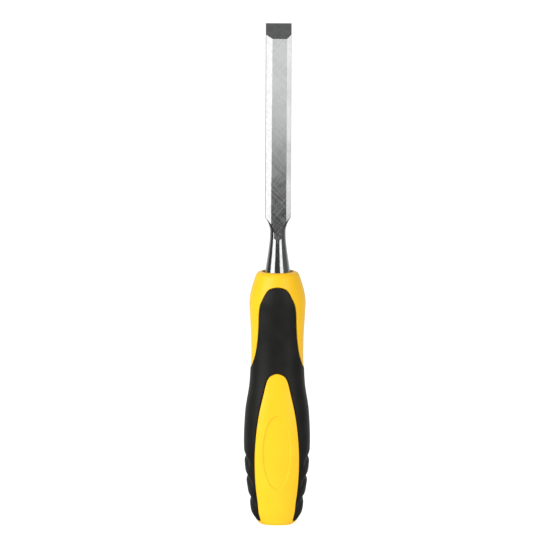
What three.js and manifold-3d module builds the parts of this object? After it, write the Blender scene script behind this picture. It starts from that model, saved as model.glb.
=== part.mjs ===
// Bench chisel, standing on its pommel with the cutting edge up. Millimetres, +Z up along the tool's axis.
// The origin is the centre of the flat strike face. -Y is the bevelled front of the blade, +Y its flat back.
// Three pieces: the steel forging (blade, neck and tang), the hard handle body and the soft grip round it.

import * as THREE from "three";
import { mergeVertices } from "three/addons/utils/BufferGeometryUtils.js";
import Module from "manifold-3d";

const wasm = await Module();
wasm.setup();

// ---- Driving dimensions ----

const OVERALL_LENGTH = 236; // strike face to cutting edge
const SEAM_GAP = 0.3; // clearance between two pieces that touch

// Blade
const BLADE_WIDTH = 12;
const EDGE_ANGLE = THREE.MathUtils.degToRad(27); // cutting bevel against the flat back
const BACK_Y = 2.4; // flat back of the blade, behind the tool's axis
const HEEL_THICKNESS = 3.6; // blade thickness where the cutting bevel starts
const SHOULDER_THICKNESS = 5.6; // blade thickness at the lower end of the grind
const SIDE_BEVEL_HEIGHT = 1; // how far a side bevel falls from the front face to the blade's side
const HEEL_BEVEL_LEFT = 3.2; // widths of the ground side bevels: the grind is a little uneven
const HEEL_BEVEL_RIGHT = 2.1;
const SHOULDER_BEVEL_LEFT = 2.75;
const SHOULDER_BEVEL_RIGHT = 2.05;
const GRIND_END_Z = 135.5; // the flat grind runs out here on the neck
const RUNOUT_SLOPE = 0.5; // outward rise of the runout facet, per millimetre down

// Neck, shank and tang
const NECK_RADIUS = 3.6;
const NECK_Z = 137.5; // narrowest point
const SHOULDER_RADIUS = 12.2; // concave arc from the neck out to the blade's sides
const CONE_SWELL = 0.8; // how much wider than the neck the cone's control point is, halfway down
const SHANK_RADIUS = 6.1; // where the cone enters the handle
const SHANK_TOP_Z = 118;
const SHANK_BOTTOM_Z = 108;
const TANG_TOP_SIDE = 7.5; // square tang, tapering downwards
const TANG_TIP_SIDE = 4;
const TANG_TIP_Z = 48;

// Handle
const COLLAR_TOP_Z = 119.6;
const MOUTH_RADIUS = 7.2; // opening in the collar, round the shank
const MOUTH_FLOOR_Z = 116;
const GRIP_THICKNESS = 2.4; // depth of the soft grip over the hard core
const GRIP_BOTTOM_Z = 1.5;
const TONGUE_TOP_Z = 113.2;
const WING_TIP_Z = 74.3; // the collar's side wings taper down to here
const PANEL_TOP_Z = 72.6;
const SQUARENESS = 0.35; // added to the exponent 2 of an ellipse at the middle of the handle
const GRIP_PROUD = 0.25; // how far the grip stands above the hard shell at the waist
const SCALLOP_DEPTH = 1;
const SCALLOP_HEIGHTS = [33.3, 23.8, 13.2]; // notch bottoms on the side's centre line
const SCALLOP_SLANT = 0.55; // each notch falls this much per millimetre towards the front and back
const SCALLOP_ABOVE = 2.4; // height of the steep step above a notch's bottom
const SCALLOP_BELOW = 3.3; // height of the slow rise below it

// Blank oval field in each panel
const FIELD_WIDTH = 12.6;
const FIELD_HEIGHT = 34;
const FIELD_CENTRE_Z = 35;
const FIELD_DEPTH = 0.3;

// Mesh fineness
const LATHE_SIDES = 36;
const SKIN = { sides: 44, step: 4, fineStep: 1.2 };
const CORE = { sides: 28, step: 7, fineStep: 3 };
const ARCH_STEPS = 44; // straight pieces along each seam outline

// ---- Solids ----

function toManifold(geometry) {
  const bare = geometry.clone();
  bare.deleteAttribute("normal");
  bare.deleteAttribute("uv");
  const merged = mergeVertices(bare, 1e-5);
  const mesh = new wasm.Mesh({
    numProp: 3,
    vertProperties: new Float32Array(merged.attributes.position.array),
    triVerts: new Uint32Array(merged.index.array),
  });
  return new wasm.Manifold(mesh);
}

function toGeometry(manifold) {
  const mesh = manifold.getMesh();
  const geometry = new THREE.BufferGeometry();
  geometry.setAttribute("position", new THREE.BufferAttribute(new Float32Array(mesh.vertProperties), 3));
  geometry.setIndex(Array.from(mesh.triVerts));
  geometry.computeVertexNormals();
  return geometry;
}

// A closed solid through rings of points that all have the same count, capped flat at both ends.
// The rings run counter-clockwise seen from +Z, and follow each other upwards.
function loft(rings) {
  const sides = rings[0].length;
  const positions = rings.flat().flatMap((point) => point.toArray());
  const index = [];
  for (let ring = 0; ring < rings.length - 1; ring += 1) {
    for (let side = 0; side < sides; side += 1) {
      const low = ring * sides + side;
      const lowNext = ring * sides + ((side + 1) % sides);
      index.push(low, lowNext, lowNext + sides, low, lowNext + sides, low + sides);
    }
  }
  const lastRing = (rings.length - 1) * sides;
  for (let side = 1; side < sides - 1; side += 1) {
    index.push(0, side + 1, side);
    index.push(lastRing, lastRing + side, lastRing + side + 1);
  }
  const geometry = new THREE.BufferGeometry();
  geometry.setAttribute("position", new THREE.Float32BufferAttribute(positions, 3));
  geometry.setIndex(index);
  return geometry;
}

// A solid of revolution about Z from [radius, z] pairs that start and end on the axis, listed upwards.
function revolve(profile) {
  const points = profile.map(([radius, z]) => new THREE.Vector2(radius, z));
  return new THREE.LatheGeometry(points, LATHE_SIDES).rotateX(Math.PI / 2);
}

// An outline in the X-Z plane, extruded right through the tool from front to back.
function frontPrism(outline) {
  const shape = new THREE.Shape(outline);
  const depth = 60;
  const geometry = new THREE.ExtrudeGeometry(shape, { depth, bevelEnabled: false, curveSegments: 1 });
  return geometry.rotateX(Math.PI / 2).translate(0, depth / 2, 0);
}

// ---- Blade ----

// Cross-section of the ground blade at height z, pushed outwards by spread.
function groundSection(z, spread) {
  const heelZ = OVERALL_LENGTH - HEEL_THICKNESS / Math.tan(EDGE_ANGLE);
  const share = (heelZ - z) / (heelZ - GRIND_END_Z);
  const { lerp } = THREE.MathUtils;
  const half = BLADE_WIDTH / 2 + spread;
  const back = BACK_Y + spread;
  const front = BACK_Y - lerp(HEEL_THICKNESS, SHOULDER_THICKNESS, share) - spread;
  const bevelEnd = front + SIDE_BEVEL_HEIGHT;
  const left = lerp(HEEL_BEVEL_LEFT, SHOULDER_BEVEL_LEFT, share) - half;
  const right = half - lerp(HEEL_BEVEL_RIGHT, SHOULDER_BEVEL_RIGHT, share);
  return [
    new THREE.Vector3(-half, back, z),
    new THREE.Vector3(-half, bevelEnd, z),
    new THREE.Vector3(left, front, z),
    new THREE.Vector3(right, front, z),
    new THREE.Vector3(half, bevelEnd, z),
    new THREE.Vector3(half, back, z),
  ];
}

// The volume inside all the flat grinds. It opens out below their end, where nothing is ground.
function groundVolume() {
  const runoutZ = GRIND_END_Z - 3;
  const runout = (GRIND_END_Z - runoutZ) * RUNOUT_SLOPE;
  return toManifold(
    loft([
      groundSection(TANG_TIP_Z - 1, BLADE_WIDTH),
      groundSection(runoutZ, runout),
      groundSection(GRIND_END_Z, 0),
      groundSection(OVERALL_LENGTH + 1, 0),
    ]),
  );
}

// Everything in front of the plane of the cutting bevel.
function edgeCutter() {
  const reach = 30;
  const shape = new THREE.Shape();
  shape.moveTo(BACK_Y, OVERALL_LENGTH);
  shape.lineTo(BACK_Y - reach * Math.tan(EDGE_ANGLE), OVERALL_LENGTH - reach);
  shape.lineTo(BACK_Y - reach * Math.tan(EDGE_ANGLE), OVERALL_LENGTH + reach);
  shape.lineTo(BACK_Y + reach, OVERALL_LENGTH + reach);
  shape.lineTo(BACK_Y + reach, OVERALL_LENGTH);
  const depth = 4 * BLADE_WIDTH;
  const geometry = new THREE.ExtrudeGeometry(shape, { depth, bevelEnabled: false });
  // Shape X becomes tool Y, shape Y becomes tool Z, and the extrusion runs along X.
  const axes = new THREE.Matrix4().makeBasis(
    new THREE.Vector3(0, 1, 0),
    new THREE.Vector3(0, 0, 1),
    new THREE.Vector3(1, 0, 0),
  );
  return toManifold(geometry.applyMatrix4(axes).translate(-depth / 2, 0, 0));
}

// The round forging before grinding: shank, cone, neck, and the flare that the blade is ground from.
function blankProfile(clearance) {
  const profile = [[0, SHANK_BOTTOM_Z - clearance]];
  profile.push([SHANK_RADIUS + clearance, SHANK_BOTTOM_Z - clearance]);
  profile.push([SHANK_RADIUS + clearance, SHANK_TOP_Z]);
  const cone = new THREE.QuadraticBezierCurve(
    new THREE.Vector2(SHANK_RADIUS + clearance, SHANK_TOP_Z),
    new THREE.Vector2(NECK_RADIUS + CONE_SWELL + clearance, (SHANK_TOP_Z + NECK_Z) / 2),
    new THREE.Vector2(NECK_RADIUS + clearance, NECK_Z),
  );
  profile.push(...cone.getPoints(8).slice(1).map((point) => [point.x, point.y]));
  const flareSteps = 8;
  const flareAngle = THREE.MathUtils.degToRad(48);
  for (let step = 1; step <= flareSteps; step += 1) {
    const angle = (flareAngle * step) / flareSteps;
    const radius = NECK_RADIUS + SHOULDER_RADIUS * (1 - Math.cos(angle));
    profile.push([radius, NECK_Z + SHOULDER_RADIUS * Math.sin(angle)]);
  }
  const flareRadius = profile[profile.length - 1][0];
  profile.push([flareRadius, OVERALL_LENGTH + 1], [0, OVERALL_LENGTH + 1]);
  return profile;
}

function squareRing(side, z) {
  const half = side / 2;
  return [
    new THREE.Vector3(-half, -half, z),
    new THREE.Vector3(half, -half, z),
    new THREE.Vector3(half, half, z),
    new THREE.Vector3(-half, half, z),
  ];
}

function tang(clearance) {
  const tip = squareRing(TANG_TIP_SIDE + 2 * clearance, TANG_TIP_Z - clearance);
  const top = squareRing(TANG_TOP_SIDE + 2 * clearance, SHANK_BOTTOM_Z + 1);
  return toManifold(loft([tip, top]));
}

function bladeSolid() {
  const ground = toManifold(revolve(blankProfile(0))).intersect(groundVolume());
  return ground.subtract(edgeCutter()).add(tang(0));
}

// ---- Handle ----

// Half-width (X), half-depth (Y) and height of the handle's outer surface, from the strike face to the
// floor of the mouth. The spline passes through every point.
const handleCurve = new THREE.CatmullRomCurve3(
  [
    new THREE.Vector3(7.4, 7.2, 0),
    new THREE.Vector3(8.7, 8.4, 0.9),
    new THREE.Vector3(9.9, 9.4, 2.5),
    new THREE.Vector3(11.1, 10.4, 5),
    new THREE.Vector3(12.4, 11.4, 11),
    new THREE.Vector3(14, 12.5, 21),
    new THREE.Vector3(15.1, 13.2, 31),
    new THREE.Vector3(15.37, 13.4, 40),
    new THREE.Vector3(14.65, 13, 53.4),
    new THREE.Vector3(12.6, 11.8, 66),
    new THREE.Vector3(12.05, 11.4, 76),
    new THREE.Vector3(12.1, 11.5, 89),
    new THREE.Vector3(12.75, 12.3, 100.6),
    new THREE.Vector3(12.95, 12.7, 105.5),
    new THREE.Vector3(12.4, 12.3, 110),
    new THREE.Vector3(11.05, 11.05, 114.7),
    new THREE.Vector3(9.9, 9.9, 118),
    new THREE.Vector3(8.5, 8.5, COLLAR_TOP_Z),
    new THREE.Vector3(MOUTH_RADIUS, MOUTH_RADIUS, COLLAR_TOP_Z - 0.9),
    new THREE.Vector3(MOUTH_RADIUS, MOUTH_RADIUS, MOUTH_FLOOR_Z),
  ],
  false,
  "centripetal",
);

// Depth of the scallops at a point of the side: a sharp step down from above, then a slow rise below.
// They fade out before they reach the front and back seams.
function scallopDepth(y, z) {
  const { clamp, smoothstep } = THREE.MathUtils;
  const fade = 1 - smoothstep(Math.abs(y), 5.5, 8.5);
  let depth = 0;
  for (const height of SCALLOP_HEIGHTS) {
    const below = height - SCALLOP_SLANT * Math.abs(y) - z;
    const step = Math.sin((Math.PI / 2) * clamp(1 + below / SCALLOP_ABOVE, 0, 1));
    const rise = smoothstep(below, 0, SCALLOP_BELOW);
    depth = Math.max(depth, SCALLOP_DEPTH * fade * step * (1 - rise));
  }
  return depth;
}

// Height of the soft grip above the handle's plain surface.
function gripRelief(y, z) {
  return GRIP_PROUD * THREE.MathUtils.smoothstep(z, 46, 62) - scallopDepth(y, z);
}

// One ring of the handle: a superellipse, rounder at both ends than in the middle.
function handleRing(section, inset, sides, isGrip) {
  const exponent = 2 + SQUARENESS * Math.sin(Math.PI * THREE.MathUtils.clamp(section.z / TONGUE_TOP_Z, 0, 1));
  const ring = [];
  for (let side = 0; side < sides; side += 1) {
    const angle = (2 * Math.PI * side) / sides;
    const cos = Math.cos(angle);
    const sin = Math.sin(angle);
    const along = Math.sign(cos) * Math.abs(cos) ** (2 / exponent);
    const across = Math.sign(sin) * Math.abs(sin) ** (2 / exponent);
    const lift = (isGrip ? gripRelief(section.y * across, section.z) : 0) - inset;
    ring.push(new THREE.Vector3((section.x + lift) * along, (section.y + lift) * across, section.z));
  }
  return ring;
}

// The handle's outer surface as a closed solid, moved inwards by inset.
function handleSolid(inset, { sides, step, fineStep }, isGrip = false) {
  const length = handleCurve.getLength();
  const scallopTop = SCALLOP_HEIGHTS[0] + 4;
  const rings = [];
  let travelled = 0;
  while (travelled < length) {
    const section = handleCurve.getPointAt(travelled / length);
    rings.push(handleRing(section, inset, sides, isGrip));
    const isFine = section.z < 6 || section.z > TONGUE_TOP_Z || (isGrip && section.z < scallopTop);
    travelled += isFine ? fineStep : step;
  }
  rings.push(handleRing(handleCurve.getPointAt(1), inset, sides, isGrip));
  return toManifold(loft(rings));
}

// Outline of the front panel, from the strike end up the right-hand side, over its round top and down again.
function panelOutline(inset) {
  const points = [
    [8.1, GRIP_BOTTOM_Z],
    [8.9, 8.6],
    [9.95, 17.4],
    [10.6, 29],
    [10.4, 38],
    [9.1, 50.5],
    [7.2, 60],
    [4.9, 69],
    [3.5, 71.2],
    [0, PANEL_TOP_Z],
  ];
  return archOutline(points, inset);
}

// Outline of the front tongue of the grip, from the right-hand wing tip over its round top to the left one.
function tongueOutline(inset) {
  const points = [
    [13.5, WING_TIP_Z - 1.2],
    [11.6, 76.3],
    [10.3, 80.5],
    [9.2, 87],
    [8.7, 94],
    [8.4, 103],
    [7, 107.6],
    [4.6, 111.8],
    [0, TONGUE_TOP_Z],
  ];
  return archOutline(points, inset);
}

// A smooth arch through the right-hand [x, z] points and their mirror images, moved inwards by inset.
function archOutline(points, inset) {
  const right = points.map(([x, z]) => new THREE.Vector3(x, z, 0));
  const left = points.slice(0, -1).map(([x, z]) => new THREE.Vector3(-x, z, 0));
  const curve = new THREE.CatmullRomCurve3([...right, ...left.reverse()], false, "centripetal");
  return curve.getSpacedPoints(ARCH_STEPS).map((point, step) => {
    const tangent = curve.getTangentAt(step / ARCH_STEPS);
    return new THREE.Vector2(point.x - tangent.y * inset, point.y + tangent.x * inset);
  });
}

// Front view of the soft grip: side strips, ring and tongue, drawn in by inset.
function gripOutline(inset) {
  const beyond = 30;
  const panel = panelOutline(-inset);
  const tongue = tongueOutline(inset);
  const floorZ = GRIP_BOTTOM_Z + inset;
  const wingZ = tongue[0].y;
  panel[0].y = floorZ;
  panel[ARCH_STEPS].y = floorZ;
  return [
    new THREE.Vector2(beyond, floorZ),
    new THREE.Vector2(beyond, wingZ),
    ...tongue,
    new THREE.Vector2(-beyond, wingZ),
    new THREE.Vector2(-beyond, floorZ),
    ...panel.reverse(),
  ];
}

// The steel that the handle holds, grown by the seam gap.
function socketSolid() {
  return toManifold(revolve(blankProfile(SEAM_GAP))).add(tang(SEAM_GAP));
}

// The shallow oval field sunk into the front and back panels.
function fieldRecess() {
  const outline = new THREE.EllipseCurve(0, FIELD_CENTRE_Z, FIELD_WIDTH / 2, FIELD_HEIGHT / 2);
  const prism = toManifold(frontPrism(outline.getPoints(32).slice(1)));
  return prism.subtract(handleSolid(FIELD_DEPTH, SKIN));
}

function handleBodySolid() {
  const recess = toManifold(frontPrism(gripOutline(0))).subtract(handleSolid(GRIP_THICKNESS, CORE));
  const body = handleSolid(0, SKIN).subtract(recess).subtract(fieldRecess());
  return body.subtract(socketSolid());
}

function gripSolid() {
  const outline = toManifold(frontPrism(gripOutline(SEAM_GAP)));
  const skin = handleSolid(0, SKIN, true).intersect(outline);
  return skin.subtract(handleSolid(GRIP_THICKNESS - SEAM_GAP, CORE));
}

// ---- Assembly ----

const steel = new THREE.MeshStandardMaterial({ color: 0xb9bcbf, roughness: 0.32, metalness: 1 });
const yellowPlastic = new THREE.MeshStandardMaterial({ color: 0xffd42e, roughness: 0.4, metalness: 0 });
const blackRubber = new THREE.MeshStandardMaterial({ color: 0x2a2927, roughness: 0.75, metalness: 0 });

const benchChisel = new THREE.Group();

function addPiece(name, solid, material) {
  const mesh = new THREE.Mesh(toGeometry(solid), material);
  mesh.name = name;
  benchChisel.add(mesh);
}

addPiece("blade", bladeSolid(), steel);
addPiece("handle_body", handleBodySolid(), yellowPlastic);
addPiece("soft_grip", gripSolid(), blackRubber);

export default benchChisel;
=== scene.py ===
"""Bench chisel: detailed visual pieces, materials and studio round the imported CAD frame."""

import math

import bmesh
import bpy
import numpy as np
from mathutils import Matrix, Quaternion, Vector


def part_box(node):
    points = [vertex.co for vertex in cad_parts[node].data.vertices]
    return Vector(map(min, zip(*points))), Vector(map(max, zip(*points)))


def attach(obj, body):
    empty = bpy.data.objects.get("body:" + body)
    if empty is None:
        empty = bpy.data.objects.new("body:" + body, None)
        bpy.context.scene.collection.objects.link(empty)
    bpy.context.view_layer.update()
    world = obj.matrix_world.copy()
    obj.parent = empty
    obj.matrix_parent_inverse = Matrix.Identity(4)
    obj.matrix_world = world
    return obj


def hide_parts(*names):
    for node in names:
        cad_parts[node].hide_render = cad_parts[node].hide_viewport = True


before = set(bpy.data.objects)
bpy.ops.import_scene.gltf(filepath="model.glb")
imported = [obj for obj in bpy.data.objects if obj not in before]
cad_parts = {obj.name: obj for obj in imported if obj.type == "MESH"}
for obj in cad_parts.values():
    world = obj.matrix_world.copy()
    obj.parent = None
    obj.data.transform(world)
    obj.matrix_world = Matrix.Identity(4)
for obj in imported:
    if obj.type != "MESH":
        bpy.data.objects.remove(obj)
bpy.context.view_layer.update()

# ---------------------------------------------------------------- driving sizes
# Shapes are written in millimetres, as in the CAD; MM turns them into the frame's metres.
MM = 0.001
WELD = 0.003  # points closer than this are joined into one
FRONT = -math.pi / 2  # polar angle of the tool's front, -Y; angle 0 is its right-hand side, +X

FIT_GAP = 0.3  # between two pieces in the CAD
TOOL_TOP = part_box("blade")[1].z / MM
TANG_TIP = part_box("blade")[0].z / MM
COLLAR_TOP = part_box("handle_body")[1].z / MM
GRIP_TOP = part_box("soft_grip")[1].z / MM + FIT_GAP
GRIP_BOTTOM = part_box("soft_grip")[0].z / MM - FIT_GAP

# Blade: the CAD's grinds, made a little uneven, with fillets between them and a narrow land at the edge.
BLADE_HALF = 6.0
EDGE_SLOPE = math.tan(math.radians(27))  # cutting bevel against the flat back
EDGE_LAND = 0.03  # thickness left at the cutting edge
BACK_Y = 2.4  # the flat back
HEEL_THICKNESS = 3.6  # where the cutting bevel starts
SHOULDER_THICKNESS = 5.6  # at the lower end of the grind
SIDE_BEVEL_DROP = 1.0  # of a side bevel, from the front face to the blade's side
BEVEL_LEFT = (3.2, 2.75)  # widths at the heel and at the shoulder
BEVEL_RIGHT = (2.1, 2.05)
GRIND_END = 135.5
RUNOUT_SLOPE = 0.5  # how far the ground faces spread for each millimetre below that
WAVER = [(0.035, 0.19, 0), (0.02, 0.53, 1)]  # unevenness of the bevels: size, radians per mm and phase
LEAST_BEVEL = 0.05  # share of the side bevels kept up the cutting bevel, as its worn edges
LONG_EDGE_FILLET = 0.13  # radius of the rounded edges between the ground faces
LEFT_EDGE_FILLET = 0.55  # the same, along the outer edge of the left side bevel
FILLET_SHARE = 0.4  # the most that one fillet takes of a side

# Neck, shank and tang.
NECK_RADIUS = 3.64
NECK_Z = 138.0
SHOULDER_RADIUS = 11.0
FLARE_END = 0.8  # sine of the angle at which the shoulder's arc stops
SHANK_RADIUS = 6.1
SHANK_TOP = 118.0
SHANK_BOTTOM = 108.0
TANG_TOP_HALF = 3.75  # half of the square tang's side
TANG_TIP_HALF = 2.0

# Heights and radii up the cone, from the shank to the neck.
CONE = [(SHANK_TOP, SHANK_RADIUS), (122.3, 5.43), (126.0, 4.84), (129.8, 4.31)]
CONE += [(133.6, 3.86), (136.2, 3.67), (NECK_Z, NECK_RADIUS)]

# Handle outline: height, half-width and half-depth.
PROFILE = np.array(
    [
        (0.0, 7.4, 7.2),
        (0.9, 8.7, 8.4),
        (2.5, 9.9, 9.4),
        (5.0, 11.5, 10.5),
        (11.0, 12.68, 11.4),
        (21.0, 14.3, 12.5),
        (31.0, 15.25, 13.2),
        (40.0, 15.55, 13.4),
        (53.4, 14.85, 13.0),
        (66.0, 12.85, 11.8),
        (76.0, 12.32, 11.4),
        (89.0, 12.35, 11.5),
        (100.6, 13.0, 12.3),
        (105.5, 13.2, 12.7),
        (110.0, 12.55, 12.3),
        (114.7, 11.25, 11.15),
        (118.0, 10.15, 10.15),
    ]
)
SQUARENESS = 0.35  # what half-way up is added to the ellipse's exponent of 2

# Collar and its mouth.
COLLAR_JOIN = GRIP_TOP + 1.9  # the collar is made of level rings above this height
RIM_START = 117.3  # its rounded rim begins here
MOUTH_RADIUS = 7.2
MOUTH_FLOOR = 113.5
MOUTH_ROUNDING = 0.45
FLOOR_FILLET = 0.3  # round the floor of the mouth
CHAMFER = 0.1  # of the bore's edge; that fillet stays as far from the mouth's wall and floor

# Strike face: its rounded edge as (scale of the rim, height) pairs, and the rings of the flat inside it.
STRIKE_EDGE = 0.18  # height at which the rounding starts
STRIKE_ROUNDING = [(0.985, 0.07), (0.965, 0.015)]
STRIKE_RINGS = (0.94, 0.9, 0.65, 0.35, 0.0)

# Seams between the yellow moulding and the black grip.
GROOVE = 0.34  # open width between the two rounded edges
SHELL_ROUNDING = 0.26
GRIP_ROUNDING = 0.36
GRIP_DEPTH = 2.1  # of the grip's underside, below the handle's surface
CORE_DEPTH = 2.3  # of the moulding under the grip
WALL_SHARES = (0.25, 0.6, 1.0)  # rows down the wall below a lip
WING_TIP = 73.9
WING_ROUNDING = (-8, 0.45)  # degrees from the side, and rise, of the point beside the wing's tip
PANEL_TOP = 72.6
BELT = (WING_TIP + PANEL_TOP) / 2  # height at which the grip's lower and upper grids meet

# Controls of the seams: distance from the front's centre line and height.
PANEL_EDGE = [(8.27, 4.6), (8.9, 8.6), (9.95, 17.4), (10.6, 29.0), (10.4, 38.0)]
PANEL_EDGE += [(9.1, 50.5), (7.2, 60.0), (4.9, 69.0), (3.5, 71.2)]
TONGUE_EDGE = [(11.7, 76.3), (10.5, 80.5), (9.45, 87.0), (8.95, 94.0)]
TONGUE_EDGE += [(8.5, 103.0), (6.85, 107.8), (4.15, 112.0)]

# The cuff under each side strip: degrees from the side, and rise above the grip's bottom.
CUFF = [(0, 0), (-15, 0), (-25, 0), (-33.2, 0.25), (-36.4, 0.85)]
CORNER = math.radians(-39.5)  # the cuff's line becomes the panel's edge here
FOOT_RISE = 0.8  # of the line across the panel's foot, from that corner to the front

# Relief of the grip: it stands proud of the moulding from the waist up, and is notched down its sides.
GRIP_PROUD = 0.25
PROUD_HEIGHTS = (46, 62)  # it rises to that between these two
SCALLOPS = [(33.3, 1.0), (23.8, 1.0), (13.3, 0.9)]  # height of each notch's bottom on the side, and depth
SCALLOP_SLANT = 0.55  # fall of a notch's bottom for each millimetre from the side's centre line
SCALLOP_APEX = 0.5  # rounds the turn of that slant on the centre line, in square millimetres
SCALLOP_ABOVE = 2.4  # height over which a notch sinks to its bottom
SCALLOP_BELOW = 3.3  # height over which it comes up again
SCALLOP_FADE = (5.5, 8.6)  # distances from the centre line between which it dies out

# Oval field of each panel: its step is drawn by (inset, depth) pairs.
FIELD_CENTRE = 35.3
FIELD_HALF_WIDTH = 6.75
FIELD_HALF_HEIGHT = 17.5
FIELD_DEPTH = 0.4
FIELD_STEP = [(0, 0), (0.08, 0.03), (0.16, 0.13), (0.24, 0.27), (0.32, 0.37), (0.42, FIELD_DEPTH)]

# Mesh counts of one quarter of the handle.
ACROSS = 28  # steps round it, from the side to the front or to the panel's corner
PANEL_NODES = 150  # steps up the panel's edge
TONGUE_NODES = 104  # steps up the tongue's edge
LINE_POINTS = 3000  # of a seam, before its nodes are spaced out
LIP_ROWS = 7  # over the rounding of a lip
STEP_NODES = 3  # between a seam's end and the belt
GROUND_ROWS = 26  # between a panel's oval field and its edge
FIELD_RINGS = 9
POMMEL_ROWS = 10
COLLAR_NODES = 8  # up the front, above the tongue
COLLAR_ROWS = (5, 12, 8)  # up to the rim, over the rim, and over the mouth's edge


# ---------------------------------------------------------------- small mathematics
def spline(knots, values, at):
    """A smooth curve through the values at the knots, read at the given places."""
    knots = np.asarray(knots, float)
    values = np.asarray(values, float)
    steps = np.diff(knots)
    slopes = np.diff(values) / steps
    inner = (slopes[:-1] * steps[1:] + slopes[1:] * steps[:-1]) / (steps[1:] + steps[:-1])
    tangents = np.concatenate([slopes[:1], inner, slopes[-1:]])
    at = np.clip(at, knots[0], knots[-1])
    i = np.clip(np.searchsorted(knots, at, side="right") - 1, 0, len(steps) - 1)
    h = steps[i]
    t = (at - knots[i]) / h
    start = (1 + 2 * t) * (1 - t) ** 2 * values[i] + t * (1 - t) ** 2 * h * tangents[i]
    end = t**2 * (3 - 2 * t) * values[i + 1] + t**2 * (t - 1) * h * tangents[i + 1]
    return start + end


def smoothstep(low, high, x):
    t = np.clip((x - low) / (high - low), 0, 1)
    return t * t * (3 - 2 * t)


def unit(v):
    return v / np.maximum(np.linalg.norm(v, axis=-1, keepdims=True), 1e-12)


def pairs(angle, z):
    """Arrays of angles and heights as one array of (angle, z)."""
    return np.stack(np.broadcast_arrays(np.asarray(angle, float), np.asarray(z, float)), -1)


def ring(direction, radius, z):
    """A level row of points at the given radius, or radii, along the horizontal directions."""
    xy = direction * np.broadcast_to(radius, len(direction))[:, None]
    return np.column_stack([xy, np.full(len(xy), float(z))])


def square(direction):
    """Radii along the directions of a square that reaches 1 along both axes."""
    return 1 / np.max(np.abs(direction), axis=1)


# ---------------------------------------------------------------- the handle's outer surface
def section(z):
    """Half-width, half-depth and squareness exponent of the handle at height z."""
    half_width = spline(PROFILE[:, 0], PROFILE[:, 1], z)
    half_depth = spline(PROFILE[:, 0], PROFILE[:, 2], z)
    exponent = 2 + SQUARENESS * np.sin(math.pi * np.clip(z / GRIP_TOP, 0, 1))
    return half_width, half_depth, exponent


def skin(places, lift=0.0):
    """Points at (angle, z) on the handle, moved out along the surface normal by lift."""
    angle, z = places[..., 0], places[..., 1]
    a, b, n = section(z)
    cos, sin = np.cos(angle), np.sin(angle)
    radius = ((np.abs(cos) / a) ** n + (np.abs(sin) / b) ** n) ** (-1 / n)
    points = np.stack([radius * cos, radius * sin, z], -1)
    return points + skin_normal(points) * np.broadcast_to(lift, z.shape)[..., None]


def skin_normal(points):
    """Outward unit normal of the handle's surface at points on it."""
    x, y, z = np.moveaxis(points, -1, 0)
    a, b, n = section(z)
    step = 0.02
    a_above, b_above, _ = section(z + step)
    a_below, b_below, _ = section(z - step)
    slope_a = (a_above - a_below) / (2 * step)
    slope_b = (b_above - b_below) / (2 * step)
    x_share = np.abs(x) / a
    y_share = np.abs(y) / b
    along_x = np.sign(x) * x_share ** (n - 1) / a
    along_y = np.sign(y) * y_share ** (n - 1) / b
    along_z = -(x_share**n) * slope_a / a - (y_share**n) * slope_b / b
    return unit(np.stack([along_x, along_y, along_z], -1))


def angle_at(x, z):
    """Polar angle of the front surface at distance x to the right of the centre line."""
    a, b, n = section(np.asarray(z, float))
    y = b * np.maximum(1 - np.minimum(np.abs(x) / a, 1) ** n, 0) ** (1 / n)
    return np.arctan2(-y, x)


def shifted(places, direction, distance):
    """(angle, z) moved by distance along in-surface directions, still on the surface."""
    step = 1e-3
    turn = pairs(step, 0)
    rise = pairs(0, step)
    by_angle = (skin(places + turn) - skin(places - turn)) / (2 * step)
    by_z = (skin(places + rise) - skin(places - rise)) / (2 * step)
    e = np.sum(by_angle * by_angle, -1)
    f = np.sum(by_angle * by_z, -1)
    g = np.sum(by_z * by_z, -1)
    p = np.sum(direction * by_angle, -1)
    q = np.sum(direction * by_z, -1)
    spread = e * g - f * f
    move = np.stack([(g * p - f * q) / spread, (e * q - f * p) / spread], -1)
    return places + distance * move


# ---------------------------------------------------------------- the two seams
def even_nodes(line, count):
    """count + 1 nodes along a dense line of (angle, z), at equal distances on the surface."""
    points = skin(line)
    run = np.concatenate([[0], np.cumsum(np.linalg.norm(np.diff(points, axis=0), axis=1))])
    at = np.linspace(0, run[-1], count + 1)
    return pairs(np.interp(at, run, line[:, 0]), np.interp(at, run, line[:, 1]))


def seam_line(controls):
    """A dense smooth line through (angle, z) controls that crosses both symmetry planes squarely."""
    controls = np.array(controls, float)
    before = controls[1] * (-1, 1)
    after = controls[-2] * (-1, 1) + (2 * FRONT, 0)
    padded = np.vstack([before, controls, after])
    hops = np.linalg.norm(np.diff(skin(padded), axis=0), axis=1) ** 0.5
    knots = np.concatenate([[0], np.cumsum(hops)])
    at = np.linspace(knots[1], knots[-2], LINE_POINTS)
    line = pairs(spline(knots, padded[:, 0], at), spline(knots, padded[:, 1], at))
    line[0, 0] = 0
    line[-1, 0] = FRONT
    return line


def lower_seam():
    """The lower seam: along the cuff under the side strip, then up the panel's edge to its top."""
    controls = [(math.radians(degrees), GRIP_BOTTOM + rise) for degrees, rise in CUFF]
    controls += [(angle_at(x, z), z) for x, z in PANEL_EDGE]
    line = seam_line([*controls, (FRONT, PANEL_TOP)])
    corner = int(np.argmax(line[:, 0] < CORNER))
    under_strip = even_nodes(line[: corner + 1], ACROSS)
    return np.vstack([under_strip, even_nodes(line[corner:], PANEL_NODES)[1:]])


def upper_seam():
    """The upper seam: from the wing's tip on the side, up the tongue's edge to its top."""
    degrees, rise = WING_ROUNDING
    controls = [(0.0, WING_TIP), (math.radians(degrees), WING_TIP + rise)]
    controls += [(angle_at(x, z), z) for x, z in TONGUE_EDGE]
    return even_nodes(seam_line([*controls, (FRONT, GRIP_TOP)]), TONGUE_NODES)


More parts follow.
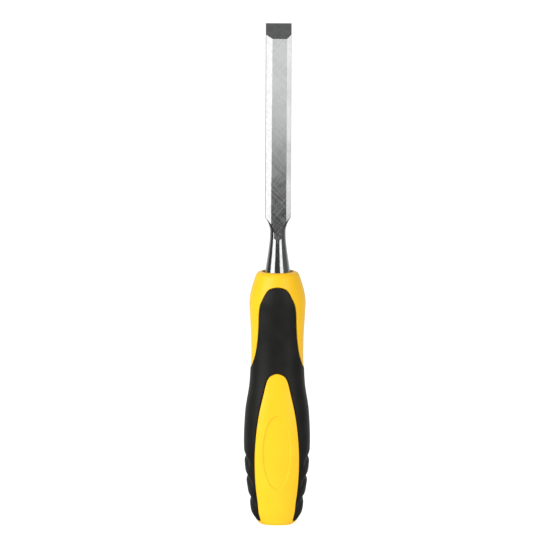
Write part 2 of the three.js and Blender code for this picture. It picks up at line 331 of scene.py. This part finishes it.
class Seam:
    """A seam's nodes with the surface normal and the direction across it, towards the shell."""

    def __init__(self, nodes, shell_side):
        self.nodes = nodes
        points = skin(nodes)
        padded = np.vstack([points[1] * (1, -1, 1), points, points[-2] * (-1, 1, 1)])
        tangent = unit(padded[2:] - padded[:-2])
        self.normal = skin_normal(points)
        self.across = unit(np.cross(self.normal, tangent)) * shell_side

    def moved(self, distance):
        places = shifted(self.nodes, self.across, distance)
        places[0, 0] = 0
        places[-1, 0] = FRONT
        return places

    def lip(self, side, rounding, relief, depth):
        """Rows from the lip's edge over its rounding and down to depth; side is 1 for the shell."""
        edge = skin(self.moved(side * (GROOVE / 2 + rounding)), relief)
        inward = -side * self.across
        turns = np.linspace(0, math.pi / 2, LIP_ROWS)
        rows = [edge + rounding * (inward * math.sin(t) - self.normal * (1 - math.cos(t))) for t in turns]
        foot = skin(self.moved(side * GROOVE / 2), -depth)
        last = rows[-1]
        rows += [last + share * (foot - last) for share in WALL_SHARES]
        return np.array(rows)


LOWER = Seam(lower_seam(), 1)
UPPER = Seam(upper_seam(), -1)


# ---------------------------------------------------------------- grids of (angle, z)
def coons(bottom, top, left, right):
    """Grid of (angle, z) between four border lines; rows run from bottom to top."""
    v = np.linspace(0, 1, len(left))[:, None, None]
    u = np.linspace(0, 1, len(bottom))[None, :, None]
    ruled_up = (1 - v) * bottom[None] + v * top[None]
    ruled_across = (1 - u) * left[:, None] + u * right[:, None]
    low = (1 - u) * bottom[0] + u * bottom[-1]
    high = (1 - u) * top[0] + u * top[-1]
    return ruled_up + ruled_across - (1 - v) * low - v * high


def level(z, start=0.0, end=FRONT):
    return pairs(np.linspace(start, end, ACROSS + 1), z)


def upright(angle, low, high, count):
    return pairs(angle, np.linspace(low, high, count + 1))


def strip_grid(lower):
    """The grip's quarter between its lower seam line, the side's centre line and the belt."""
    cuff = lower[: ACROSS + 1]
    panel = lower[ACROSS:]
    top = panel[-1, 1]
    seam_side = np.vstack([panel, upright(FRONT, top, BELT, STEP_NODES)[1:]])
    # The side's centre line keeps to the seam's heights, but starts on the cuff and ends on the belt.
    share = np.linspace(0, 1, len(seam_side))
    rise = np.minimum(seam_side[:, 1], top)
    start_gap = (panel[0, 1] - cuff[0, 1]) * (1 - smoothstep(0, 0.25, share))
    end_gap = (BELT - top) * np.clip(4 * share - 3, 0, 1)
    return coons(cuff, level(BELT), pairs(0, rise - start_gap + end_gap), seam_side)


def tongue_grid(upper):
    """The grip's quarter between the belt, its upper seam line and the front's centre line."""
    wing = upper[0, 1]
    seam_side = np.vstack([upright(0, BELT, wing, STEP_NODES)[:-1], upper])
    count = len(seam_side)
    middle = int(0.3 * count)  # this row is level, and the centre line is even above and below it
    at = [0, STEP_NODES, middle, count - 1]
    heights = [BELT, BELT + 0.35 * (wing - BELT), seam_side[middle, 1], upper[-1, 1]]
    centre = pairs(FRONT, np.interp(np.arange(count), at, heights))
    return coons(level(BELT), np.repeat(upper[-1:], ACROSS + 1, axis=0), seam_side, centre)


def grip_relief(places):
    """Height of the grip above the handle's plain surface: proud from the waist up, notched below."""
    points = skin(places)
    y, z = points[..., 1], points[..., 2]
    relief = GRIP_PROUD * smoothstep(*PROUD_HEIGHTS, z)
    fade = 1 - smoothstep(*SCALLOP_FADE, np.abs(y))
    from_apex = np.sqrt(y**2 + SCALLOP_APEX) - math.sqrt(SCALLOP_APEX)
    for height, depth in SCALLOPS:
        below = height - SCALLOP_SLANT * from_apex - z
        drop = np.sin(np.clip(1 + below / SCALLOP_ABOVE, 0, 1) * math.pi / 2)
        rise = 1 - smoothstep(0, SCALLOP_BELOW, below)
        relief = relief - depth * fade * drop * rise
    return relief


# ---------------------------------------------------------------- meshes
class Patchwork:
    """Collects grids of points in millimetres and joins them, mirrored, into one closed mesh."""

    def __init__(self, signs):
        self.signs = signs
        self.grids = []

    def add(self, *grids):
        self.grids.extend(grids)

    def object(self, name, sharp_degrees):
        vertices, faces = [], []
        base = 0
        for sign in self.signs:
            for grid in self.grids:
                rows, columns = grid.shape[:2]
                index = base + np.arange(rows * columns).reshape(rows, columns)
                corners = [index[:-1, :-1], index[:-1, 1:], index[1:, 1:], index[1:, :-1]]
                faces.append(np.stack(corners, -1).reshape(-1, 4))
                vertices.append(grid.reshape(-1, 3) * sign * MM)
                base += rows * columns
        mesh = bpy.data.meshes.new(name)
        mesh.from_pydata(np.vstack(vertices).tolist(), [], np.vstack(faces).tolist())
        join(mesh)
        mesh.set_sharp_from_angle(angle=math.radians(sharp_degrees))
        piece = bpy.data.objects.new(name, mesh)
        bpy.context.scene.collection.objects.link(piece)
        return piece


def join(mesh):
    """Welds coincident points and turns the surface outwards."""
    work = bmesh.new()
    work.from_mesh(mesh)
    bmesh.ops.remove_doubles(work, verts=work.verts, dist=WELD * MM)
    bmesh.ops.recalc_face_normals(work, faces=work.faces)
    if work.calc_volume(signed=True) < 0:
        bmesh.ops.reverse_faces(work, faces=work.faces)
    for face in work.faces:
        face.smooth = True
    work.to_mesh(mesh)
    work.free()


QUARTERS = [(1, 1, 1), (-1, 1, 1), (1, -1, 1), (-1, -1, 1)]
WHOLE = [(1, 1, 1)]


def make_grip():
    work = Patchwork(QUARTERS)
    lower = LOWER.moved(-(GROOVE / 2 + GRIP_ROUNDING))
    upper = UPPER.moved(-(GROOVE / 2 + GRIP_ROUNDING))
    for grid in (strip_grid(lower), tongue_grid(upper)):
        work.add(skin(grid, grip_relief(grid)))
    work.add(LOWER.lip(-1, GRIP_ROUNDING, grip_relief(lower), GRIP_DEPTH))
    work.add(UPPER.lip(-1, GRIP_ROUNDING, grip_relief(upper), GRIP_DEPTH))
    work.add(skin(strip_grid(LOWER.moved(-GROOVE / 2)), -GRIP_DEPTH))
    work.add(skin(tongue_grid(UPPER.moved(-GROOVE / 2)), -GRIP_DEPTH))
    return work.object("soft_grip_moulding", sharp_degrees=50)


def panel_foot(edge):
    """The line under the panel, from the cuff's corner to the front's centre line."""
    foot = level(edge[0, 1], edge[0, 0], FRONT)
    foot[:, 1] += FOOT_RISE * smoothstep(0, 1, np.linspace(0, 1, ACROSS + 1))
    return foot


def panel_grids(edge, foot):
    """The panel's quarter: the ground round its oval field, the field's step, and its floor."""
    outer = np.vstack([foot[::-1], edge[1:]])
    rays = np.arcsin(np.clip((edge[:, 1] - FIELD_CENTRE) / (edge[-1, 1] - FIELD_CENTRE), -1, 1))
    rays = np.concatenate([np.linspace(-math.pi / 2, rays[0], ACROSS + 1), rays[1:]])

    def oval(inset):
        x = (FIELD_HALF_WIDTH - inset) * np.cos(rays)
        z = FIELD_CENTRE + (FIELD_HALF_HEIGHT - inset) * np.sin(rays)
        places = pairs(angle_at(x, z), z)
        places[0, 0] = places[-1, 0] = FRONT
        return places

    rim = oval(0)
    below = upright(FRONT, rim[0, 1], outer[0, 1], GROUND_ROWS)
    above = upright(FRONT, rim[-1, 1], outer[-1, 1], GROUND_ROWS)
    ground = skin(coons(rim, outer, below, above))
    step = np.array([skin(oval(inset), -depth) for inset, depth in FIELD_STEP])
    insets = np.linspace(FIELD_STEP[-1][0], FIELD_HALF_WIDTH, FIELD_RINGS)
    rings = [oval(inset) for inset in insets]
    rings[-1][:, 0] = FRONT
    return [ground, step, skin(np.array(rings), -FIELD_DEPTH)]


def strike_end(cuff, foot):
    """The pommel's quarter, from the cuff and the panel's foot down round the rim to the strike face."""
    top = np.vstack([cuff, foot[1:]])
    angle, above = top[:, 0], top[:, 1] - STRIKE_EDGE
    shares = np.linspace(1, 0, POMMEL_ROWS)
    rows = [skin(pairs(angle, STRIKE_EDGE + above * share)) for share in shares]
    rim = rows[-1] * (1, 1, 0)
    rows += [rim * scale + (0, 0, height) for scale, height in STRIKE_ROUNDING]
    rows += [rim * scale for scale in STRIKE_RINGS]
    return np.array(rows)


def collar_rows(top):
    """The collar's quarter above the tongue: over the rim, down the mouth and into the socket."""
    angle = top[:, 0]
    to_rim, over_rim, over_edge = COLLAR_ROWS
    rows = [skin(pairs(angle, z)) for z in np.linspace(top[0, 1], RIM_START, to_rim)]
    side = np.linalg.norm(rows[-1][0, :2])
    step = 0.1
    slope = (side - np.linalg.norm(skin(pairs(0, RIM_START - step)[None])[0, :2])) / step
    # The rim's curve leaves along the skin and comes in level at the collar's top.
    profile = []
    height = COLLAR_TOP - RIM_START
    bend = side + slope * height
    for t in np.linspace(0, 1, over_rim)[1:]:
        radius = (1 - t) ** 2 * side + 2 * t * (1 - t) * bend + t**2 * (bend - height)
        profile.append((radius, RIM_START + height * (1 - (1 - t) ** 2)))
    crown = MOUTH_RADIUS + MOUTH_ROUNDING
    for turn in np.linspace(0, math.pi / 2, over_edge):
        radius = crown - MOUTH_ROUNDING * math.sin(turn)
        profile.append((radius, COLLAR_TOP - MOUTH_ROUNDING * (1 - math.cos(turn))))
    profile.append((MOUTH_RADIUS, MOUTH_FLOOR + FLOOR_FILLET))
    profile.append((MOUTH_RADIUS - CHAMFER, MOUTH_FLOOR + CHAMFER))
    profile.append((MOUTH_RADIUS - FLOOR_FILLET, MOUTH_FLOOR))
    bore = SHANK_RADIUS + FIT_GAP
    bottom = SHANK_BOTTOM - FIT_GAP
    profile += [(bore + CHAMFER, MOUTH_FLOOR), (bore, MOUTH_FLOOR - CHAMFER), (bore, bottom)]
    direction = np.stack([np.cos(angle), np.sin(angle)], -1)
    profile.append(((TANG_TOP_HALF + FIT_GAP) * square(direction), bottom))
    profile.append(((TANG_TIP_HALF + FIT_GAP) * square(direction), TANG_TIP - FIT_GAP))
    profile.append((0, TANG_TIP - FIT_GAP))
    rows += [ring(direction, radius, z) for radius, z in profile]
    return np.array(rows)


def make_shell():
    work = Patchwork(QUARTERS)
    lower = LOWER.moved(GROOVE / 2 + SHELL_ROUNDING)
    upper = UPPER.moved(GROOVE / 2 + SHELL_ROUNDING)
    work.add(LOWER.lip(1, SHELL_ROUNDING, 0.0, CORE_DEPTH))
    work.add(UPPER.lip(1, SHELL_ROUNDING, 0.0, CORE_DEPTH))
    work.add(skin(strip_grid(LOWER.moved(GROOVE / 2)), -CORE_DEPTH))
    work.add(skin(tongue_grid(UPPER.moved(GROOVE / 2)), -CORE_DEPTH))
    foot = panel_foot(lower[ACROSS:])
    work.add(*panel_grids(lower[ACROSS:], foot))
    work.add(strike_end(lower[: ACROSS + 1], foot))
    top = level(COLLAR_JOIN)
    front_side = np.vstack([upper, upright(FRONT, upper[-1, 1], top[0, 1], COLLAR_NODES)[1:]])
    wing_side = upright(0, upper[0, 1], top[0, 1], len(front_side) - 1)
    work.add(skin(coons(np.repeat(upper[:1], ACROSS + 1, axis=0), top, wing_side, front_side)))
    work.add(collar_rows(top))
    return work.object("handle_moulding", sharp_degrees=50)


# ---------------------------------------------------------------- blade
HEEL_Z = TOOL_TOP - (HEEL_THICKNESS - EDGE_LAND) / EDGE_SLOPE
BEVEL_END_Z = TOOL_TOP - (HEEL_THICKNESS - SIDE_BEVEL_DROP - EDGE_LAND) / EDGE_SLOPE
RUNOUT_Z = 132.0  # the grind has run out below this height
FLARE_Z = 147.0  # the shoulders' flare ends below this height
CONE_SPACING, RUNOUT_SPACING, FLARE_SPACING = 0.75, 0.125, 0.2  # from one slice to the next
BLADE_SLICES, HEEL_SLICES, TIP_SLICES = 60, 12, 9  # up to the heel, to the side bevels' end, to the edge
HEEL_MARGIN = 0.5  # below the heel and above the side bevels' end
BEVEL_SUPPORT = 0.06  # a slice this far above the side bevels' end keeps it crisp
SIDE_SHARES = np.array([0, 0.02, 0.25, 0.5, 0.75, 0.98, 1])  # closer by the fillets, to keep them crisp
CORNER_POINTS = 10  # over each fillet
LEFT_SIDE = 1  # place of the left side in the list of sides; the left side bevel follows it


def blank_radius(z):
    """Radius of the round forging before it is ground."""
    if z <= SHANK_TOP:
        return SHANK_RADIUS
    if z < NECK_Z:
        return float(spline(*zip(*CONE), z))
    angle = math.asin(min((z - NECK_Z) / SHOULDER_RADIUS, FLARE_END))
    return NECK_RADIUS + SHOULDER_RADIUS * (1 - math.cos(angle))


def ground_corners(z):
    """Corners of the ground cross-section at height z, from the back right through the back left."""
    share = min(max((HEEL_Z - z) / (HEEL_Z - GRIND_END), 0), 1)
    spread = max(GRIND_END - z, 0) * RUNOUT_SLOPE
    half = BLADE_HALF + spread
    back = BACK_Y + spread
    flat_front = BACK_Y - HEEL_THICKNESS - (SHOULDER_THICKNESS - HEEL_THICKNESS) * share - spread
    front = max(flat_front, BACK_Y - EDGE_LAND - (TOOL_TOP - z) * EDGE_SLOPE)
    waver = sum(size * math.sin(rate * z + phase) for size, rate, phase in WAVER)
    left = BEVEL_LEFT[0] + (BEVEL_LEFT[1] - BEVEL_LEFT[0]) * share + waver
    right = BEVEL_RIGHT[0] + (BEVEL_RIGHT[1] - BEVEL_RIGHT[0]) * share - 0.5 * waver
    bevel_end = flat_front + SIDE_BEVEL_DROP
    kept = min(max((bevel_end - front) / SIDE_BEVEL_DROP, LEAST_BEVEL), 1)
    side_end = max(bevel_end, front)
    return [
        (half, back),
        (-half, back),
        (-half, side_end),
        (-half + left * kept, front),
        (half - right * kept, front),
        (half, side_end),
    ]


class GroundSide:
    """One side of the ground polygon, and the stretch of it that lies inside the round forging."""

    def __init__(self, start, end, radius):
        self.start = start
        self.length = max(np.linalg.norm(end - start), 1e-9)
        self.along = (end - start) / self.length
        nearest = -np.dot(start, self.along)
        off_axis = np.linalg.norm(start + self.along * nearest)
        chord = math.sqrt(max(radius**2 - off_axis**2, 0))
        self.low = min(max(nearest - chord, 0), self.length)
        self.high = max(min(nearest + chord, self.length), self.low)

    def point(self, distance):
        return self.start + self.along * distance


def blade_slice(z):
    """Points round the blade at height z: the ground polygon, cut by the round forging."""
    radius = blank_radius(z)
    corners = np.array(ground_corners(z))
    ends = np.roll(corners, -1, axis=0)
    sides = [GroundSide(start, end, radius) for start, end in zip(corners, ends)]
    fillets = []
    for k, here in enumerate(sides):
        after = sides[(k + 1) % len(sides)]
        turn = math.acos(min(max(float(np.dot(here.along, after.along)), -1), 1))
        size = LEFT_EDGE_FILLET if k == LEFT_SIDE else LONG_EDGE_FILLET
        longest = FILLET_SHARE * min(here.length, after.length)
        fillets.append(min(size * math.tan(turn / 2), longest))
    points = []
    for k, here in enumerate(sides):
        after = sides[(k + 1) % len(sides)]
        last = max(min(here.high, here.length - fillets[k]), here.low)
        first = min(max(here.low, fillets[k - 1]), last)
        enter_at = min(max(after.low, fillets[k]), max(after.high, after.low))
        points.extend(here.point(distance) for distance in first + (last - first) * SIDE_SHARES)
        leave, enter = here.point(last), after.point(enter_at)
        s = np.linspace(0, 1, CORNER_POINTS + 2)[1:-1, None]
        rounded = (1 - s) ** 2 * leave + 2 * s * (1 - s) * after.start + s**2 * enter
        swing = (math.atan2(enter[1], enter[0]) - math.atan2(leave[1], leave[0])) % (2 * math.pi)
        angles = math.atan2(leave[1], leave[0]) + swing * s[:, 0]
        arc = radius * np.column_stack([np.cos(angles), np.sin(angles)])
        # Where the forging cuts the corner away, its arc takes the fillet's place.
        cut_away = max(here.length - here.high, after.low)
        weight = float(smoothstep(0.5, 1.5, cut_away / max(fillets[k], 1e-6)))
        points.extend((1 - weight) * rounded + weight * arc)
    points = np.array(points)
    points *= np.minimum(1, radius / np.linalg.norm(points, axis=1))[:, None]
    return np.column_stack([points, np.full(len(points), z)])


def make_blade():
    heights = [
        *np.arange(SHANK_TOP, RUNOUT_Z, CONE_SPACING),
        *np.arange(RUNOUT_Z, GRIND_END, RUNOUT_SPACING),
        GRIND_END,
        *np.arange(GRIND_END + FLARE_SPACING, FLARE_Z, FLARE_SPACING),
        *np.linspace(FLARE_Z + 1, HEEL_Z - HEEL_MARGIN, BLADE_SLICES),
        *np.linspace(HEEL_Z, BEVEL_END_Z, HEEL_SLICES),
        BEVEL_END_Z + BEVEL_SUPPORT,
        *np.linspace(BEVEL_END_Z + HEEL_MARGIN, TOOL_TOP, TIP_SLICES),
    ]
    slices = [blade_slice(z) for z in heights]
    direction = unit(slices[0][:, :2])
    tang_and_shank = [
        (0, TANG_TIP),
        (TANG_TIP_HALF * square(direction), TANG_TIP),
        (TANG_TOP_HALF * square(direction), SHANK_BOTTOM),
        (SHANK_RADIUS - FIT_GAP, SHANK_BOTTOM),
        (SHANK_RADIUS, SHANK_BOTTOM + FIT_GAP),
    ]
    hidden = [ring(direction, radius, z) for radius, z in tang_and_shank]
    middle = slices[-1].mean(axis=0) * (0, 1, 1)
    edge_land = np.repeat(middle[None], len(direction), axis=0)
    grid = np.array([*hidden, *slices, edge_land])
    work = Patchwork(WHOLE)
    work.add(np.concatenate([grid, grid[:, :1]], axis=1))
    return work.object("blade_forging", sharp_degrees=14)


blade = make_blade()
shell = make_shell()
grip = make_grip()

for piece, node, finish in [
    (blade, "blade", "steel"),
    (shell, "handle_body", "hard_plastic"),
    (grip, "soft_grip", "soft_grip"),
]:
    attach(piece, "root")
    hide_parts(node)


# ---------------------------------------------------------------- materials
def range_node(tree, value, low, high, out_low, out_high):
    """The value taken from low..high to out_low..out_high, and held at the ends."""
    node = tree.nodes.new("ShaderNodeMapRange")
    limits = {"From Min": low, "From Max": high, "To Min": out_low, "To Max": out_high}
    for socket, number in limits.items():
        node.inputs[socket].default_value = number
    tree.links.new(value, node.inputs["Value"])
    return node.outputs["Result"]


def math_node(tree, operation, first, second):
    node = tree.nodes.new("ShaderNodeMath")
    node.operation = operation
    tree.links.new(first, node.inputs[0])
    tree.links.new(second, node.inputs[1])
    return node.outputs["Value"]


class Finish:
    """Short helpers for building one material's node tree."""

    def __init__(self, name):
        self.material = bpy.data.materials.new(name)
        self.material.use_nodes = True
        self.tree = self.material.node_tree
        self.shader = self.tree.nodes["Principled BSDF"]

    def link(self, source, target):
        self.tree.links.new(source, target)

    def set(self, socket, value):
        self.shader.inputs[socket].default_value = value

    def drive(self, socket, source):
        self.link(source, self.shader.inputs[socket])

    def place(self, rotation=(0, 0, 0), stretch=(1, 1, 1)):
        """Object coordinates, in metres, for a pattern that is stretched and then turned."""
        coordinates = self.tree.nodes.new("ShaderNodeTexCoord")
        mapping = self.tree.nodes.new("ShaderNodeMapping")
        mapping.vector_type = "TEXTURE"
        mapping.inputs["Rotation"].default_value = [math.radians(r) for r in rotation]
        mapping.inputs["Scale"].default_value = stretch
        self.link(coordinates.outputs["Object"], mapping.inputs["Vector"])
        return mapping.outputs["Vector"]

    def noise(self, vector, scale, detail=3.0, roughness=0.5):
        texture = self.tree.nodes.new("ShaderNodeTexNoise")
        texture.inputs["Scale"].default_value = scale
        texture.inputs["Detail"].default_value = detail
        texture.inputs["Roughness"].default_value = roughness
        self.link(vector, texture.inputs["Vector"])
        return texture.outputs["Fac"]

    def remap(self, value, low, high, out_low, out_high):
        return range_node(self.tree, value, low, high, out_low, out_high)

    def ramp(self, factor, first, second):
        """A colour between first and second, as factor goes over the middle of its range."""
        node = self.tree.nodes.new("ShaderNodeValToRGB")
        for element, position, colour in zip(node.color_ramp.elements, (0.3, 0.7), (first, second)):
            element.position = position
            element.color = (*colour, 1)
        self.link(factor, node.inputs["Fac"])
        return node.outputs["Color"]

    def add(self, first, second):
        return math_node(self.tree, "ADD", first, second)

    def bump(self, height, distance, strength):
        node = self.tree.nodes.new("ShaderNodeBump")
        node.inputs["Distance"].default_value = distance
        node.inputs["Strength"].default_value = strength
        self.link(height, node.inputs["Height"])
        self.drive("Normal", node.outputs["Normal"])


def steel_material():
    """Tool steel, with crossed diagonal grinding marks."""
    m = Finish("ground_steel")
    rising = m.noise(m.place((0, -52, 0), (14, 1, 1)), 1250, 2.0)
    falling = m.noise(m.place((0, 46, 0), (18, 1, 1)), 1000, 2.0)
    marks = m.remap(m.add(rising, falling), 0.6, 1.4, 0, 1)
    dark, pale = (0.63, 0.634, 0.638), (0.75, 0.755, 0.76)
    m.drive("Base Color", m.ramp(marks, dark, pale))
    # The neck is slightly rougher than the ground faces above it.
    height = m.tree.nodes.new("ShaderNodeSeparateXYZ")
    m.link(m.place(), height.inputs["Vector"])
    roughness = m.remap(height.outputs["Z"], (NECK_Z - 2) * MM, (NECK_Z + 4) * MM, 0.12, 0.115)
    m.drive("Roughness", m.add(roughness, m.remap(marks, 0.3, 0.7, -0.01, 0.03)))
    m.set("Metallic", 1.0)
    waves = m.remap(m.noise(m.place(), 110, 1.0), 0, 1, 0, 4.5)
    m.bump(m.add(marks, waves), 0.0000055, 0.5)
    return m.material


def plastic_material():
    """Glossy yellow moulding, with a faint grain and the slightest mottling of colour."""
    m = Finish("yellow_plastic")
    grain = m.noise(m.place(), 5200, 2.0)
    deep, pale = (0.93, 0.53, 0.009), (0.97, 0.555, 0.012)
    m.drive("Base Color", m.ramp(m.noise(m.place(), 90, 2.0), deep, pale))
    m.drive("Roughness", m.remap(grain, 0.3, 0.7, 0.25, 0.32))
    m.set("IOR", 1.47)
    m.set("Specular IOR Level", 0.4)
    m.bump(grain, 0.000008, 0.4)
    return m.material


def rubber_material():
    """Matt black thermoplastic rubber with a fine eroded texture."""
    m = Finish("black_rubber")
    grain = m.noise(m.place(), 4200, 4.0, 0.6)
    dark, pale = (0.0068, 0.0067, 0.006), (0.0115, 0.0112, 0.010)
    m.drive("Base Color", m.ramp(m.noise(m.place(), 140, 3.0), dark, pale))
    m.drive("Roughness", m.remap(grain, 0.3, 0.7, 0.42, 0.55))
    m.set("Specular IOR Level", 0.5)
    m.bump(grain, 0.00002, 0.5)
    return m.material


def paper_material():
    """Pale paper that glows a little, so that it stays even and free of dark shadows."""
    m = Finish("white_paper")
    dark, pale = (0.5, 0.5, 0.5), (0.52, 0.52, 0.52)
    m.drive("Base Color", m.ramp(m.noise(m.place(), 60, 2.0), dark, pale))
    m.set("Roughness", 0.9)
    m.set("Specular IOR Level", 0.1)
    m.set("Emission Color", (1, 1, 1, 1))
    m.set("Emission Strength", 0.75)
    return m.material


blade.data.materials.append(steel_material())
shell.data.materials.append(plastic_material())
grip.data.materials.append(rubber_material())


# ---------------------------------------------------------------- studio
CENTRE = Vector((0, 0, TOOL_TOP * MM / 2))
CAMERA_ELEVATION = 8
CAMERA_DISTANCE = 4.5
CAMERA_ROLL = 0.25  # the tool leans slightly to the right in the photograph
CAMERA_SHIFT = Vector((-0.00125, 0, -0.00034))  # places the tool in the picture as in the photograph
PICTURE_WIDTH = 0.2575  # what the picture spans at the tool
DARK_ROOM = 0.05  # radiance of the unlit parts of the room


def make_floor():
    """A pale sheet of paper under the tool, out of sight of the reflections in the steel."""
    side, front, end = 1.2, -0.3, 1.0
    vertices = [(-side, front, 0), (side, front, 0), (side, end, 0), (-side, end, 0)]
    mesh = bpy.data.meshes.new("floor")
    mesh.from_pydata(vertices, [], [(0, 1, 2, 3)])
    mesh.materials.append(paper_material())
    floor = bpy.data.objects.new("floor", mesh)
    floor.visible_glossy = False
    bpy.context.scene.collection.objects.link(floor)
    return floor


def direction_from(azimuth, elevation):
    """Unit vector away from the tool; azimuth 0 is in front of it and 90 to its right, in degrees."""
    a, e = math.radians(azimuth), math.radians(elevation)
    return Vector((math.sin(a) * math.cos(e), -math.cos(a) * math.cos(e), math.sin(e)))


def softbox(name, azimuth, elevation, distance, width, height, radiance, glossy=True):
    """A rectangular light of even radiance that faces the tool's middle; degrees and metres."""
    light = bpy.data.lights.new(name, "AREA")
    light.shape = "RECTANGLE"
    light.size = width
    light.size_y = height
    light.energy = radiance * math.pi * width * height
    lamp = bpy.data.objects.new(name, light)
    away = direction_from(azimuth, elevation)
    lamp.location = CENTRE + away * distance
    lamp.rotation_mode = "QUATERNION"
    lamp.rotation_quaternion = away.to_track_quat("Z", "Y")
    lamp.visible_camera = False
    lamp.visible_glossy = glossy
    bpy.context.scene.collection.objects.link(lamp)


def make_world():
    """White for the camera, soft ambient light, and a dark room with a bright rear wall in reflections."""
    world = bpy.data.worlds.new("studio")
    bpy.context.scene.world = world
    world.use_nodes = True
    tree = world.node_tree
    background = tree.nodes["Background"]
    background.inputs["Color"].default_value = (1, 1, 1, 1)
    rays = tree.nodes.new("ShaderNodeLightPath")
    coordinates = tree.nodes.new("ShaderNodeTexCoord")
    direction = tree.nodes.new("ShaderNodeSeparateXYZ")
    tree.links.new(coordinates.outputs["Generated"], direction.inputs["Vector"])
    rear_wall = range_node(tree, direction.outputs["Y"], 0.25, 1.0, DARK_ROOM, 0.7)
    above_floor = range_node(tree, direction.outputs["Z"], -0.36, -0.15, DARK_ROOM, 1.0)
    strength = math_node(tree, "MINIMUM", rear_wall, above_floor)
    for source, *limits in [
        (direction.outputs["X"], 0.5, 0.95, DARK_ROOM, 0.11),  # the wall on the right
        (direction.outputs["Z"], 0.2, 0.8, DARK_ROOM, 0.17),  # the ceiling
        (rays.outputs["Is Diffuse Ray"], 0, 1, 0, 0.65),  # soft light on every matt surface
        (rays.outputs["Is Camera Ray"], 0, 1, 0, 1.05),  # the plain white background
    ]:
        strength = math_node(tree, "MAXIMUM", strength, range_node(tree, source, *limits))
    tree.links.new(strength, background.inputs["Strength"])


def make_camera():
    """A long lens in front of the tool and a little above it, as in the photograph."""
    camera = bpy.data.objects.new("camera", bpy.data.cameras.new("camera"))
    bpy.context.scene.collection.objects.link(camera)
    bpy.context.scene.camera = camera
    camera.data.lens = camera.data.sensor_width * CAMERA_DISTANCE / PICTURE_WIDTH
    camera.data.clip_start = 0.05
    back = direction_from(0, CAMERA_ELEVATION)
    roll = Quaternion((0, 0, 1), math.radians(CAMERA_ROLL))
    camera.rotation_mode = "QUATERNION"
    camera.rotation_quaternion = back.to_track_quat("Z", "Y") @ roll
    camera.location = CENTRE + CAMERA_SHIFT + back * CAMERA_DISTANCE


make_floor()
softbox("left_softbox", -50, 11.6, distance=1.0, width=0.73, height=0.7, radiance=1.42)
softbox("right_softbox", 38, 11.6, distance=1.0, width=0.54, height=0.7, radiance=1.25)
softbox("front_card", 0, 0.15, distance=1.35, width=0.18, height=0.112, radiance=1.08)
softbox("broad_fill", -45, 28, distance=1.2, width=1.2, height=1.0, radiance=2.1, glossy=False)
make_world()
make_camera()
bpy.context.scene.view_settings.view_transform = "Standard"
